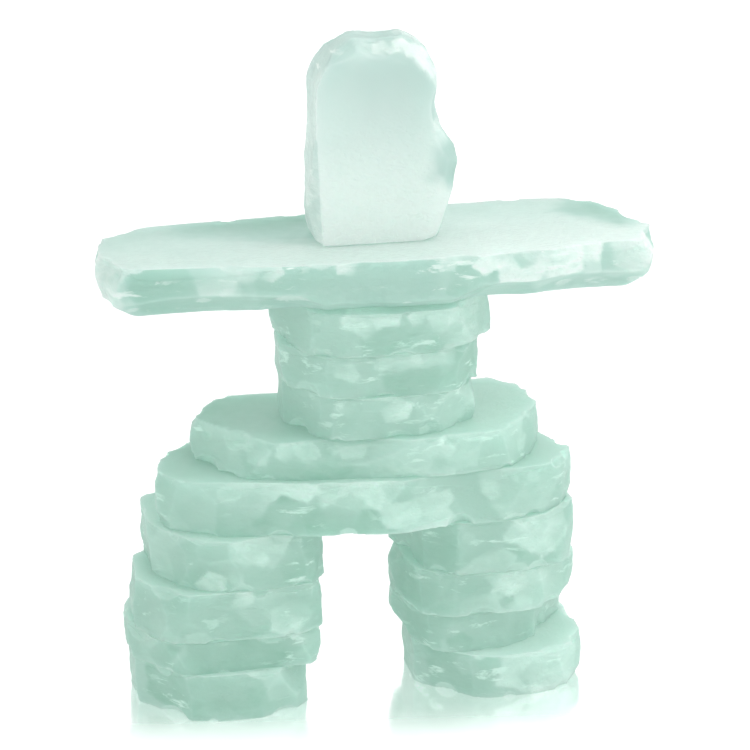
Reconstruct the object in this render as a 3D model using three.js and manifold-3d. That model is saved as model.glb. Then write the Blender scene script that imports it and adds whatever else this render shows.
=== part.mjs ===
// A glass inukshuk: fifteen knapped slabs of frosted glass stacked into a figure with two legs, hips,
// a waist, a trunk, outstretched arms and a head. Millimetres, +Z up, X along the arms with the
// viewer's right at +X, and the front at -Y. The origin lies under the middle of the figure, on the
// surface that its feet stand on.
import * as THREE from "three";
import { mergeVertices } from "three/addons/utils/BufferGeometryUtils.js";
import Module from "manifold-3d";

const wasm = await Module();
wasm.setup();

// Driving dimensions: how thick each course of the stack is, from the feet up
const FOOT_THICKNESS = 19.5;
const ANKLE_THICKNESS = 16.5;
const SHIN_THICKNESS = 20;
const THIGH_THICKNESS = 23;
const HIP_THICKNESS = 22;
const WAIST_THICKNESS = 16.5;
const BELLY_THICKNESS = 18;
const RIB_THICKNESS = 18;
const CHEST_THICKNESS = 18;
const ARM_THICKNESS = 23.1;
const HEAD_HEIGHT = 83.6;
const HEAD_THICKNESS = 24;

// The hair-wide joint that is left between two slabs where they bed on each other
const JOINT = 0.3;

// How long and deep the three broad slabs are, and where each one's middle sits along X
const ARM_LENGTH = 229;
const ARM_DEPTH = 76;
const ARM_PLACE = -1.7;
const HIP_LENGTH = 177;
const HIP_DEPTH = 77;
const HIP_PLACE = -6.5;
const WAIST_LENGTH = 147;
const WAIST_DEPTH = 72;
const WAIST_PLACE = -4.7;

// How long and deep a block of the legs and of the trunk is, before each one's own share
const LEG_LENGTH = 73;
const LEG_DEPTH = 64;
const TRUNK_LENGTH = 80;
const TRUNK_DEPTH = 59;

// How far each leg's middle stands in from the end of the hips, and the head's width and place
const LEFT_LEG_INSET = 28;
const RIGHT_LEG_INSET = 37;
const HEAD_WIDTH = 60.5;
const HEAD_PLACE = 0;

// How a flank is dressed: the width of its flats, how taut its outline runs from corner to corner, how
// far a flat's place may stray as a share of that width, and the most that its rings wander in and out
const FLANK_FLAT = 12.5;
const OUTLINE_TENSION = 0.3;
const FLAT_STRAY = 0.3;
const FLANK_WANDER = 0.9;

// How the flake scars are struck: the widths and depths that are thrown, the size of the flats on a
// scar, how much longer than wide it runs along its rim, and how steeply a blow on a rim comes, in radians
const SCAR_WIDTH = [22, 34];
const SCAR_BITE = [0.5, 1.2];
const SCAR_FLAT = 7;
const SCAR_STRETCH = 1.3;
const RIM_PITCH = 0.8;

// Levels on a flank, from -1 at its lower rim to 1 at its upper one, that thrown scars take in turn,
// how far their places may stray along the rim and up the flank, and the share of a flank's height
// near each rim that follows the rim's own ring
const SCAR_LEVELS = [0.35, -0.3, 0.1];
const SPACING_STRAY = 0.7;
const LEVEL_STRAY = 0.15;
const RIM_SHARE = 0.2;

// How many scars are thrown round each block of the legs and the trunk
const BLOCK_SCARS = 8;

// The heights of the four rings of a flank, as shares of the slab's thickness
const RING_HEIGHTS = [0, 0.26, 0.72, 1];

// How far the foot, lower belly, upper belly and brow rings of a flank are drawn in, in millimetres
const SQUARE_FLANK = [0.7, 0.1, 0, 0.3];
const SHELVING_FLANK = [2.6, 0.4, 0, 1.8];
const UNDERCUT_FLANK = [12, 2, 0, 2];
const SLOPED_FLANK = [1.2, 0, 0.6, 2.6];

const GLASS = { color: 0xb4dccb, roughness: 0.45, metalness: 0 };

// A number from 0 to 1 that is always the same for the same whole numbers, and looks thrown.
function thrown(...keys) {
  const sum = keys.reduce((total, key, i) => total + key * (12.9898 + 65.1207 * i), 1.7);
  const wave = Math.sin(sum) * 43758.5453;
  return wave - Math.floor(wave);
}

// The same, from -1 to 1.
function wander(...keys) {
  return 2 * thrown(...keys) - 1;
}

// A three.js geometry as a solid that can be cut: only its positions count, with shared corners merged.
function solidOf(geometry) {
  geometry.deleteAttribute("normal");
  geometry.deleteAttribute("uv");
  const merged = mergeVertices(geometry, 1e-4);
  return new wasm.Manifold(
    new wasm.Mesh({
      numProp: 3,
      vertProperties: new Float32Array(merged.attributes.position.array),
      triVerts: new Uint32Array(merged.index.array),
    }),
  );
}

// The cut solid as a named mesh of glass.
function meshOf(solid, name) {
  const { vertProperties, triVerts } = solid.getMesh();
  const geometry = new THREE.BufferGeometry();
  geometry.setAttribute("position", new THREE.BufferAttribute(vertProperties, 3));
  geometry.setIndex(new THREE.BufferAttribute(triVerts, 1));
  geometry.computeVertexNormals();
  const mesh = new THREE.Mesh(geometry, new THREE.MeshStandardMaterial(GLASS));
  mesh.name = name;
  return mesh;
}

// The corners of a hewn block, as shares of its half length and half depth, anticlockwise from the
// left end: a rectangle whose front left, front right, back right and back left corners are knocked off.
function blockCorners([frontLeft, frontRight, backRight, backLeft]) {
  return [
    [-1, -1 + frontLeft],
    [-1 + 0.55 * frontLeft, -1 + 0.3 * frontLeft],
    [-1 + frontLeft, -1],
    [1 - frontRight, -1],
    [1 - 0.5 * frontRight, -1 + 0.35 * frontRight],
    [1, -1 + frontRight],
    [1, 1 - backRight],
    [1 - 0.5 * backRight, 1 - 0.3 * backRight],
    [1 - backRight, 1],
    [-1 + backLeft, 1],
    [-1 + 0.4 * backLeft, 1 - 0.4 * backLeft],
    [-1, 1 - backLeft],
  ];
}

// The outline of a slab in its own plane: a taut closed curve through its corners, with the outward
// direction at each of its points, and the number of flats that go round it.
function outlineOf({ corners, length, depth, place }) {
  const curve = new THREE.CatmullRomCurve3(
    corners.map(([x, y]) => new THREE.Vector3(x * length * 0.5, y * depth * 0.5, 0)),
    true,
    "catmullrom",
    OUTLINE_TENSION,
  );
  const rimAt = (turn) => {
    const at = curve.getPointAt(turn % 1);
    const along = curve.getTangentAt(turn % 1);
    return { x: place[0] + at.x, y: place[1] + at.y, outX: along.y, outY: -along.x };
  };
  return { rimAt, flats: Math.round(curve.getLength() / FLANK_FLAT) };
}

// Height of a sloping bed plane under a point.
function bedHeight(bed, x, y) {
  return bed.height + bed.riseX * x + bed.riseY * y;
}

// A slab before knapping: a drum whose round side is drawn onto the outline ring by ring, and whose
// flat ends are laid on the bed planes below and above it.
function roughSlab(slab) {
  const { rimAt, flats } = outlineOf(slab);
  const drum = new THREE.CylinderGeometry(1, 1, 1, flats, RING_HEIGHTS.length - 1);
  const spots = drum.attributes.position;
  for (let i = 0; i < spots.count; i += 1) {
    const ring = Math.round((spots.getY(i) + 0.5) * (RING_HEIGHTS.length - 1));
    const side = Math.round((Math.atan2(spots.getX(i), spots.getZ(i)) / (2 * Math.PI)) * flats);
    const step = (side + flats) % flats;
    const onAxis = Math.hypot(spots.getX(i), spots.getZ(i)) < 0.5;
    const rim = rimAt((step + FLAT_STRAY * wander(slab.seed, step)) / flats + 1);
    const drawnIn = slab.flank[ring] + FLANK_WANDER * wander(slab.seed, step, ring);
    const x = onAxis ? slab.place[0] : rim.x - drawnIn * rim.outX;
    const y = onAxis ? slab.place[1] : rim.y - drawnIn * rim.outY;
    const floor = bedHeight(slab.below, x, y) + JOINT / 2;
    const ceiling = bedHeight(slab.above, x, y) - JOINT / 2;
    spots.setXYZ(i, x, y, floor + (ceiling - floor) * RING_HEIGHTS[ring]);
  }
  return solidOf(drum);
}

// The ball that bites one flake scar out of a rim. Width is the scar's width and bite its depth, spot
// and out the place and direction of the blow, and along the direction of the rim there.
function flakeBall(spot, out, along, width, bite) {
  const radius = (width * width * 0.25 + bite * bite) / (2 * bite);
  const splits = Math.max(1, Math.round(radius / SCAR_FLAT) - 1);
  const ball = new THREE.IcosahedronGeometry(radius, splits);
  const across = new THREE.Vector3().crossVectors(along, out).normalize();
  const place = new THREE.Matrix4().makeBasis(along.clone().multiplyScalar(SCAR_STRETCH), out, across);
  place.setPosition(spot.clone().addScaledVector(out, radius - bite));
  ball.applyMatrix4(place);
  return solidOf(ball);
}

// A scar on a slab's rim: turn is the place round its outline, level runs from -1 at the lower rim to 1
// at the upper one, and the blow comes from as far below or above as the level says.
function rimScar(slab, { turn, level, width, bite }) {
  const rim = outlineOf(slab).rimAt(turn + 1);
  const height = (level + 1) / 2;
  const drawnIn = height < RIM_SHARE ? slab.flank[0] : height > 1 - RIM_SHARE ? slab.flank[3] : 0;
  const x = rim.x - drawnIn * rim.outX;
  const y = rim.y - drawnIn * rim.outY;
  const floor = bedHeight(slab.below, x, y);
  const ceiling = bedHeight(slab.above, x, y);
  const pitch = level * RIM_PITCH;
  const out = new THREE.Vector3(
    rim.outX * Math.cos(pitch),
    rim.outY * Math.cos(pitch),
    Math.sin(pitch),
  );
  const along = new THREE.Vector3(-rim.outY, rim.outX, 0);
  const spot = new THREE.Vector3(x, y, floor + (ceiling - floor) * height);
  return flakeBall(spot, out, along, width, bite);
}

// The place round the outline that lies nearest to a point given in shares of the half sizes.
function turnTowards(slab, [shareX, shareY]) {
  const { rimAt } = outlineOf(slab);
  const x = slab.place[0] + shareX * slab.length * 0.5;
  const y = slab.place[1] + shareY * slab.depth * 0.5;
  const steps = Math.round(slab.length);
  const turns = Array.from({ length: steps }, (_, i) => i / steps);
  const distance = (turn) => Math.hypot(rimAt(turn).x - x, rimAt(turn).y - y);
  return turns.reduce((best, turn) => (distance(turn) < distance(best) ? turn : best));
}

// The scars thrown round a slab's flank at even spacing: upper rim, lower rim and belly in turn.
function thrownScars(slab) {
  const between = ([least, most], share) => least + (most - least) * share;
  return Array.from({ length: slab.scars }, (_, i) => ({
    turn: (i + SPACING_STRAY * thrown(slab.seed, i, 1)) / slab.scars,
    level: SCAR_LEVELS[i % SCAR_LEVELS.length] + LEVEL_STRAY * wander(slab.seed, i, 2),
    width: between(SCAR_WIDTH, thrown(slab.seed, i, 3)),
    bite: between(SCAR_BITE, thrown(slab.seed, i, 4)),
  }));
}

// A finished slab: the rough one with its thrown scars and its own large ones bitten out. Its own are
// given by their place, their level, and their width and bite as shares of the slab's thickness.
function knappedSlab(slab) {
  const thickness = slab.above.height - slab.below.height;
  const own = (slab.ownScars ?? []).map(([towards, level, width, bite]) => ({
    turn: turnTowards(slab, towards),
    level,
    width: width * thickness,
    bite: bite * thickness,
  }));
  return [...thrownScars(slab), ...own].reduce(
    (solid, scar) => solid.subtract(rimScar(slab, scar)),
    roughSlab(slab),
  );
}

// The bed planes of the figure, from the ground up, each standing on the courses below it. A plane
// may rise a little along X or Y, as hand-dressed stone does.
const plane = (height, riseX = 0, riseY = 0) => ({ height, riseX, riseY });
const legTop = FOOT_THICKNESS + ANKLE_THICKNESS + SHIN_THICKNESS + THIGH_THICKNESS;
const hipTop = legTop + HIP_THICKNESS;
const waistTop = hipTop + WAIST_THICKNESS;
const bellyTop = waistTop + BELLY_THICKNESS;
const ribTop = bellyTop + RIB_THICKNESS;
const chestTop = ribTop + CHEST_THICKNESS;
const armTop = chestTop + ARM_THICKNESS;
const GROUND = plane(-JOINT / 2);
const LEG_BEDS = [
  GROUND,
  plane(FOOT_THICKNESS, -0.012),
  plane(FOOT_THICKNESS + ANKLE_THICKNESS, 0.012),
  plane(FOOT_THICKNESS + ANKLE_THICKNESS + SHIN_THICKNESS, -0.014),
  plane(legTop),
];

// The stones of a leg, foot first, each with its length and depth and how far it sits off the leg's
// middle, as shares of the leg's own, how much of its four corners is knocked off, and the large scars
// that draw its ends in.
const LEFT_LEG = [
  { name: "left_foot_stone", long: 0.96, deep: 1, off: [-0.04, -0.03], corners: [0.68, 0.42, 0.4, 0.5] },
  {
    name: "left_ankle_stone",
    long: 1.06,
    deep: 0.96,
    off: [-0.02, -0.01],
    corners: [0.5, 0.26, 0.4, 0.5],
    ownScars: [[[1, -0.1], -0.75, 2.2, 0.26]],
  },
  {
    name: "left_shin_stone",
    long: 1.05,
    deep: 1.02,
    off: [0, -0.02],
    corners: [0.52, 0.34, 0.3, 0.7],
    ownScars: [[[-1, 0.1], 0.2, 2, 0.12]],
  },
  { name: "left_thigh_stone", long: 0.95, deep: 1.03, off: [0.06, 0], corners: [0.64, 0.36, 0.4, 0.3] },
];
const RIGHT_LEG = [
  {
    name: "right_foot_stone",
    long: 0.99,
    deep: 1.03,
    off: [0.05, -0.05],
    corners: [0.66, 0.5, 0.6, 0.5],
    ownScars: [
      [[1, 0.1], -0.9, 2.2, 0.25],
      [[0.92, -0.6], -0.9, 1.6, 0.16],
    ],
  },
  {
    name: "right_ankle_stone",
    long: 1,
    deep: 0.9,
    off: [-0.025, -0.01],
    corners: [0.5, 0.9, 0.5, 0.5],
    ownScars: [[[-1, 0], -0.9, 2, 0.3]],
  },
  {
    name: "right_shin_stone",
    long: 1.03,
    deep: 0.98,
    off: [-0.015, -0.02],
    corners: [0.5, 0.64, 0.45, 0.7],
    ownScars: [
      [[1, 0.1], -0.8, 2, 0.2],
      [[-1, 0], 0.9, 2, 0.16],
    ],
  },
  {
    name: "right_thigh_stone",
    long: 1.01,
    deep: 1.02,
    off: [-0.02, -0.02],
    corners: [0.58, 0.5, 0.4, 0.6],
    ownScars: [[[1, 0.1], -0.4, 1.7, 0.16]],
  },
];

function legStones(stones, middle, firstSeed) {
  return stones.map((stone, i) => ({
    name: stone.name,
    length: stone.long * LEG_LENGTH,
    depth: stone.deep * LEG_DEPTH,
    corners: blockCorners(stone.corners),
    place: [middle + stone.off[0] * LEG_LENGTH, stone.off[1] * LEG_DEPTH],
    flank: SQUARE_FLANK,
    scars: BLOCK_SCARS,
    ownScars: stone.ownScars,
    below: LEG_BEDS[i],
    above: LEG_BEDS[i + 1],
    seed: firstSeed + i,
  }));
}

const leftLegMiddle = HIP_PLACE - HIP_LENGTH / 2 + LEFT_LEG_INSET;
const rightLegMiddle = HIP_PLACE + HIP_LENGTH / 2 - RIGHT_LEG_INSET;

// The hips: a broad slab across both legs, its front swelling towards the middle.
const HIPS = {
  name: "hip_slab",
  length: HIP_LENGTH,
  depth: HIP_DEPTH,
  place: [HIP_PLACE, -0.02 * HIP_DEPTH],
  corners: [
    [-1, -0.14],
    [-0.93, -0.45],
    [-0.71, -0.71],
    [-0.26, -0.89],
    [0.1, -1],
    [0.54, -0.92],
    [0.79, -0.74],
    [0.94, -0.45],
    [1, -0.04],
    [0.93, 0.3],
    [0.78, 0.62],
    [0.5, 0.9],
    [0.05, 1],
    [-0.45, 0.95],
    [-0.78, 0.69],
    [-0.95, 0.33],
  ],
  flank: SHELVING_FLANK,
  below: plane(legTop),
  above: plane(hipTop, -0.01),
  scars: 11,
  ownScars: [
    [[-0.42, -0.86], 0.95, 1.9, 0.11],
    [[-0.04, -1], 0.95, 1.7, 0.12],
    [[0.2, -1], 0, 1.5, 0.12],
    [[0.98, 0.1], 0.95, 1.9, 0.2],
  ],
  seed: 31,
};

// The waist: a smaller slab that swells at the front, with a broad sloping face at its left.
const WAIST = {
  name: "waist_slab",
  length: WAIST_LENGTH,
  depth: WAIST_DEPTH,
  place: [WAIST_PLACE, 0.014 * WAIST_DEPTH],
  corners: [
    [-1, -0.14],
    [-0.91, -0.46],
    [-0.77, -0.7],
    [-0.45, -0.84],
    [-0.19, -0.89],
    [0.09, -1],
    [0.37, -0.97],
    [0.72, -0.86],
    [0.89, -0.51],
    [1, 0.03],
    [0.98, 0.52],
    [0.82, 0.92],
    [0.56, 1.04],
    [0.1, 0.98],
    [-0.44, 0.9],
    [-0.68, 1.02],
    [-0.94, 0.62],
  ],
  flank: SLOPED_FLANK,
  below: plane(hipTop, -0.01),
  above: plane(waistTop),
  scars: 10,
  ownScars: [
    [[-0.86, -0.62], 0.8, 2.8, 0.38],
    [[-0.1, -1], 0.9, 2.1, 0.13],
  ],
  seed: 41,
};

// The trunk, given like the legs: three blocks of nearly one width, the chest stone overhanging at the
// right.
const TRUNK = [
  { name: "belly_stone", long: 0.96, deep: 0.98, off: [-0.02, -0.02], corners: [0.6, 0.6, 0.5, 0.5] },
  { name: "rib_stone", long: 0.99, deep: 1, off: [-0.02, -0.01], corners: [0.52, 0.44, 0.5, 0.5] },
  {
    name: "chest_stone",
    long: 1.1,
    deep: 1.02,
    off: [0.005, -0.02],
    corners: [0.6, 0.62, 0.5, 0.5],
    ownScars: [[[-1, -0.1], -0.7, 2.2, 0.2]],
  },
];
const TRUNK_BEDS = [plane(waistTop), plane(bellyTop, -0.01), plane(ribTop, 0.014), plane(chestTop)];

function trunkStones() {
  return TRUNK.map((stone, i) => ({
    name: stone.name,
    length: stone.long * TRUNK_LENGTH,
    depth: stone.deep * TRUNK_DEPTH,
    corners: blockCorners(stone.corners),
    place: [stone.off[0] * TRUNK_LENGTH, stone.off[1] * TRUNK_DEPTH],
    flank: SQUARE_FLANK,
    scars: BLOCK_SCARS,
    ownScars: stone.ownScars,
    below: TRUNK_BEDS[i],
    above: TRUNK_BEDS[i + 1],
    seed: 51 + i,
  }));
}

// The arms: the longest slab, flat on top, undercut below, with deep scars along its right front rim.
const ARMS = {
  name: "arm_slab",
  length: ARM_LENGTH,
  depth: ARM_DEPTH,
  place: [ARM_PLACE, 0],
  corners: [
    [-1, -0.13],
    [-0.97, -0.58],
    [-0.92, -0.82],
    [-0.78, -0.92],
    [-0.44, -0.93],
    [-0.08, -0.95],
    [0.3, -1],
    [0.72, -1],
    [0.88, -0.95],
    [0.97, -0.63],
    [1, -0.13],
    [0.96, 0.26],
    [0.85, 0.86],
    [0.67, 1.02],
    [0.32, 0.98],
    [-0.22, 0.95],
    [-0.53, 0.92],
    [-0.8, 0.82],
    [-0.94, 0.58],
    [-0.99, 0.2],
  ],
  flank: UNDERCUT_FLANK,
  below: plane(chestTop),
  above: plane(armTop),
  scars: 12,
  ownScars: [
    [[-0.74, -1], -1, 3.3, 0.26],
    [[0.76, -1], -1, 3, 0.26],
    [[-0.4, -1], -1, 1.3, 0.21],
    [[0.41, -1], -1, 1.5, 0.25],
    [[0.5, -1], 0.9, 1.05, 0.14],
    [[0.66, -1], 0.75, 0.87, 0.12],
    [[0.8, -1], 0.9, 0.95, 0.15],
    [[0.96, -0.62], 0.8, 0.95, 0.14],
    [[-0.98, -0.5], 0.8, 1, 0.13],
    [[-0.45, -1], -0.9, 1.1, 0.14],
  ],
  seed: 61,
};

// The head: an upright slab whose outline is seen from the front. Its corners are shares of its half
// width and its whole height, anticlockwise from the lower left as seen from the front.
const HEAD_CORNERS = [
  [-0.89, 0],
  [0.75, 0],
  [0.84, 0.126],
  [0.94, 0.24],
  [1, 0.38],
  [0.98, 0.45],
  [0.77, 0.555],
  [0.68, 0.667],
  [0.72, 0.825],
  [0.57, 0.943],
  [0.3, 1],
  [-0.06, 0.983],
  [-0.4, 1],
  [-0.68, 0.93],
  [-0.82, 0.855],
  [-0.92, 0.77],
  [-0.95, 0.44],
  [-0.98, 0.13],
];

// The share of the head's height above which a blow comes from the top and not from the side, and how
// far each kind of blow leans sideways, forwards or back, and up
const HEAD_BROW = 0.9;
const BROW_BLOW = [0.35, 0.6, 0.8];
const SIDE_BLOW = [0.8, 0.75, 0];

// The flats cut on the head: a point of each, as shares of the half width, half thickness and height,
// and the direction that it faces. They are its narrow left side, its thinner lower right edge, the
// bevel along the front of its top and the slope of its back.
const HEAD_FACETS = [
  { at: [-0.84, -1, 0], out: [-1, -0.3, -0.05] },
  { at: [0.52, -1, 0], out: [0.5, -1, -0.16] },
  { at: [0, -1, 0.9], out: [0.05, -1, 0.55] },
  { at: [0, 1, 0.8], out: [0.05, 1, 0.22] },
];

// A place on the head from its shares.
function headSpot([x, y, z]) {
  return new THREE.Vector3(
    HEAD_PLACE + (x * HEAD_WIDTH) / 2,
    (y * HEAD_THICKNESS) / 2,
    armTop + JOINT / 2 + z * HEAD_HEIGHT,
  );
}

// A block that stands on the outer side of a facet's plane.
function facetBlock({ at, out }) {
  const size = 2 * HEAD_HEIGHT;
  const block = new THREE.BoxGeometry(size, size, size);
  const spot = headSpot(at);
  const up = new THREE.Vector3(0, 0, 1);
  const facing = new THREE.Vector3(...out).normalize();
  block.translate(0, 0, size / 2);
  block.applyQuaternion(new THREE.Quaternion().setFromUnitVectors(up, facing));
  block.translate(spot.x, spot.y, spot.z);
  return solidOf(block);
}

// The ball of one of the head's scars.
function headScar([x, z, side, width, bite]) {
  const [sideways, forwards, up] = z > HEAD_BROW ? BROW_BLOW : SIDE_BLOW;
  const blow = new THREE.Vector3(sideways * x, forwards * side, up).normalize();
  const along = new THREE.Vector3(0, 0, 1).cross(blow).normalize();
  const spot = headSpot([x, side, z]);
  return flakeBall(spot, blow, along, width * HEAD_THICKNESS, bite * HEAD_THICKNESS);
}

// The head's flake scars: place across and up as shares of its half width and height, -1 for its front
// or 1 for its back, and width and bite as shares of its thickness.
const HEAD_SCARS = [
  [-0.45, 0.98, -1, 0.83, 0.1],
  [0.02, 0.97, -1, 1, 0.16],
  [0.45, 0.97, -1, 0.83, 0.1],
  [0.7, 0.84, -1, 1, 0.09],
  [0.72, 0.62, -1, 1.1, 0.08],
  [0.97, 0.44, -1, 0.9, 0.09],
  [0.95, 0.26, -1, 1.25, 0.1],
  [-0.5, 0.97, 1, 1, 0.13],
  [0.2, 0.98, 1, 1.15, 0.14],
  [0.72, 0.72, 1, 1.25, 0.12],
  [0.96, 0.36, 1, 1.15, 0.12],
  [-0.92, 0.6, 1, 1.4, 0.11],
  [-0.95, 0.22, 1, 1.25, 0.1],
];

// The head stone: its outline drawn out through its thickness, then its flats cut and its rims flaked.
function headStone() {
  const outline = HEAD_CORNERS.map(([x, z]) => headSpot([x, 0, z]));
  const shape = new THREE.Shape(outline.map((spot) => new THREE.Vector2(spot.x, spot.z)));
  const body = new THREE.ExtrudeGeometry(shape, { depth: HEAD_THICKNESS, bevelEnabled: false, steps: 1 });
  body.rotateX(Math.PI / 2);
  body.translate(0, HEAD_THICKNESS / 2, 0);
  const cutters = [...HEAD_FACETS.map(facetBlock), ...HEAD_SCARS.map(headScar)];
  return cutters.reduce((solid, cutter) => solid.subtract(cutter), solidOf(body));
}

const slabs = [
  ...legStones(LEFT_LEG, leftLegMiddle, 11),
  ...legStones(RIGHT_LEG, rightLegMiddle, 21),
  HIPS,
  WAIST,
  ...trunkStones(),
  ARMS,
];

// The figure, moved so that the origin lies under the middle of its whole extent.
const figure = new THREE.Group();
slabs.forEach((slab) => figure.add(meshOf(knappedSlab(slab), slab.name)));
figure.add(meshOf(headStone(), "head_stone"));
const extent = new THREE.Box3().setFromObject(figure);
const middle = extent.getCenter(new THREE.Vector3());
figure.children.forEach((mesh) => mesh.position.set(-middle.x, -middle.y, -extent.min.z));

export default figure;
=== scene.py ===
import math

import bpy
import numpy as np
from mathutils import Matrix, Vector


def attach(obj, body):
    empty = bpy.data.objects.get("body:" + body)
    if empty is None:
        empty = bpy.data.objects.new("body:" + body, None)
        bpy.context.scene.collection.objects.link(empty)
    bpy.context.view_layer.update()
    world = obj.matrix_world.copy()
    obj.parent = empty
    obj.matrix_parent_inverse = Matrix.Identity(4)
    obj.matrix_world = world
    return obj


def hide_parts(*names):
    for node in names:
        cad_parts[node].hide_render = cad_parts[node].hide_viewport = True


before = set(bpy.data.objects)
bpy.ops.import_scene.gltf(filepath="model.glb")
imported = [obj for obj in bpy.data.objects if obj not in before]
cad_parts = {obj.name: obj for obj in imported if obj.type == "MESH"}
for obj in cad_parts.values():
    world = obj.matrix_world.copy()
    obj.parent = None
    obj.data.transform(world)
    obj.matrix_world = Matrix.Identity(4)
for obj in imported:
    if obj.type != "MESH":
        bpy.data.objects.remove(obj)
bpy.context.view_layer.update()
MM = 0.001

# The blocks of the legs
# Eight blocks of cast milky glass, four to a leg, split to size and bedded on each other in clear
# adhesive. Their beds are split flat and their flanks are knapped with a hammer, flake by flake.

# Each blow is its place round the block, its level, from -1 at the lower rim to 1 at the upper, its
# width and bite in millimetres, how far its flake is turned and tipped in degrees, and the scar's
# tone, below nought for clear and deep and above for bruised and pale.
BLOCKS = {
    "left_foot_stone": [
        (-0.6, 0.35, 40, 1.2, -24, -6, -0.9),
        (-0.2, -0.4, 20, 0.7, 6, 6, -0.7),
        (0.2, 0.6, 20, 0.6, 6, 14, -0.6),
        (0.45, -0.5, 22, 0.8, 12, -6, -0.7),
        (0.74, 0.45, 20, 0.8, 24, 12, 0.2),
        (0.07, -0.3, 7, 0.4, -20, 0, -0.7),
    ],
    "left_ankle_stone": [
        (-1.0, 0.2, 26, 0.8, -34, 4, 0.35),
        (-0.7, -0.5, 24, 0.6, -22, -10, -0.8),
        (-0.35, 0.0, 17, 0.6, -6, 6, 0.3),
        (0.1, 0.45, 38, 0.6, 4, -5, -0.8),
        (0.2, -0.75, 13, 0.4, 8, -8, -0.5),
        (0.75, 0.5, 18, 0.6, 26, 8, 0.3),
        (0.76, 0.9, 7, 0.4, 20, 30, 0.8),
    ],
    "left_shin_stone": [
        (-0.95, -0.4, 22, 0.3, -20, 2, 0.3),
        (-0.5, 0.3, 28, 0.6, -12, 4, 0.0),
        (0.0, -0.2, 26, 0.6, 2, 4, -0.4),
        (0.3, 0.4, 18, 0.5, 12, 4, 0.3),
        (0.6, -0.3, 17, 0.3, 8, 4, 0.9),
        (0.09, 0.75, 9, 0.8, 6, 16, 1.2),
        (0.67, -0.5, 6, 0.4, 10, 10, 1.2),
        (-0.42, -0.95, 12, 0.6, -8, -8, 0.6),
    ],
    "left_thigh_stone": [
        (-1.45, 0.2, 26, 0.7, -8, 6, 0.5),
        (-0.85, -0.1, 24, 0.7, -26, 2, -0.2),
        (-0.3, 0.4, 26, 0.5, -4, 6, 0.15),
        (0.25, -0.2, 30, 0.5, 6, -2, -0.2),
        (0.72, -0.35, 18, 0.3, 10, -2, -0.6),
        (0.2, 0.75, 22, 0.5, 4, 12, 0.6),
        (0.08, 0.5, 10, 0.6, 16, 20, 0.9),
        (0.2, 0.2, 6, 0.4, 4, 26, 1.2),
        (0.4, 0.95, 14, 0.4, 4, 24, 0.9),
        (-0.42, -0.6, 12, 0.9, -10, 8, 1.5),
        (-0.36, -0.85, 9, 0.6, 10, 16, 1.6),
        (-0.1, -0.4, 7, 0.4, 8, 8, 0.6),
    ],
    "right_foot_stone": [
        (-0.5, -0.1, 46, 1.0, -26, -4, -0.7),
        (0.12, 0.2, 19, 0.6, 8, 10, 0.9),
        (0.6, 0.1, 30, 0.7, 22, 8, 1.2),
        (0.25, -0.1, 12, 0.5, 14, -2, 0.05),
        (-0.55, 0.45, 11, 0.4, -14, 14, 0.0),
        (0.15, 0.97, 20, 0.4, 4, 30, 0.6),
        (0.9, 0.9, 16, 0.7, 24, 24, 0.8),
    ],
    "right_ankle_stone": [
        (-0.9, 0.0, 30, 0.7, -28, -2, -0.2),
        (-0.3, 0.3, 26, 0.5, -4, -4, 0.0),
        (0.3, 0.3, 26, 0.5, 8, -6, -0.1),
        (0.7, 0.0, 22, 0.6, 26, -4, -0.2),
        (-0.55, -0.45, 8, 0.4, 6, 8, 0.3),
        (-0.42, -0.45, 10, 0.4, -10, -10, -0.8),
    ],
    "right_shin_stone": [
        (-1.2, 0.0, 34, 0.8, -26, -2, -0.5),
        (-0.7, 0.1, 17, 0.5, -12, 4, 0.35),
        (-0.25, 0.0, 26, 0.5, -2, 2, -0.1),
        (0.5, 0.3, 30, 0.6, 18, 6, 0.9),
        (0.14, 0.4, 15, 0.9, 20, 10, 1.2),
        (-0.02, 0.85, 10, 0.6, -6, 24, 0.9),
        (0.1, -0.5, 8, 0.6, 8, -14, -0.4),
        (0.28, -0.75, 11, 0.4, 10, 12, 0.8),
        (-0.2, -0.95, 20, 0.3, -2, -6, 0.9),
    ],
    "right_thigh_stone": [
        (-1.1, 0.0, 40, 0.8, -26, -2, -0.45),
        (-0.6, -0.1, 26, 0.6, -14, 2, -0.35),
        (0.0, 0.3, 28, 0.5, 0, 4, 0.0),
        (0.35, -0.3, 24, 0.6, 12, -10, -0.75),
        (0.05, -0.55, 11, 0.5, -4, 2, 0.5),
        (0.65, 0.6, 26, 0.7, 18, 16, 1.1),
        (0.32, 0.75, 11, 0.8, 24, 14, 0.9),
        (0.62, -0.1, 9, 0.6, 20, 14, 0.9),
        (-0.12, -0.97, 24, 0.3, 0, -8, 1.0),
        (-0.35, 0.45, 7, 0.4, -8, 8, 0.4),
    ],
}
# The rows of the grid over a bed that mostly lies hidden, and the painted light and shade at that bed's
# corners, lighter at its front
HIDDEN_ROWS = 7
BLOCK_BED_LIGHT = (0.7, 0.7, 0.3, 0.3)
# About the side of one face of the grid
QUAD = 0.8 * MM
# The rays that find a slab's outline, and how many of them wide it is blurred
OUTLINE_RAYS = 720
OUTLINE_BLUR = 7
# How far the inner plate's edge lies inside the rim, as a share of the slab's half height, and the
# most that it may, as a share of its half depth
PLATE_INSET = 1.05
PLATE_INSET_MOST = 0.5
# A flank takes so many times the steps that its height asks for, because they crowd at its rims
CROWDING = 1.25
# The planes of the beds are found from every eighth ray
BED_STRIDE = 8
# The levels at which a flank is read, and how far inside the plate's edge the rays that read it
# start, as a share of the slab's half depth
FLANK_LEVELS = 14
PROBE_DEPTH = 0.35
# How far a flank stands proud of its smoothed facets before it is knapped back
PROUD = 0.8 * MM
# The halving steps that find a ray's end, and the climb below which a ray counts as level
HALVINGS = 22
LEVEL_CLIMB = 1e-3
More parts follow.
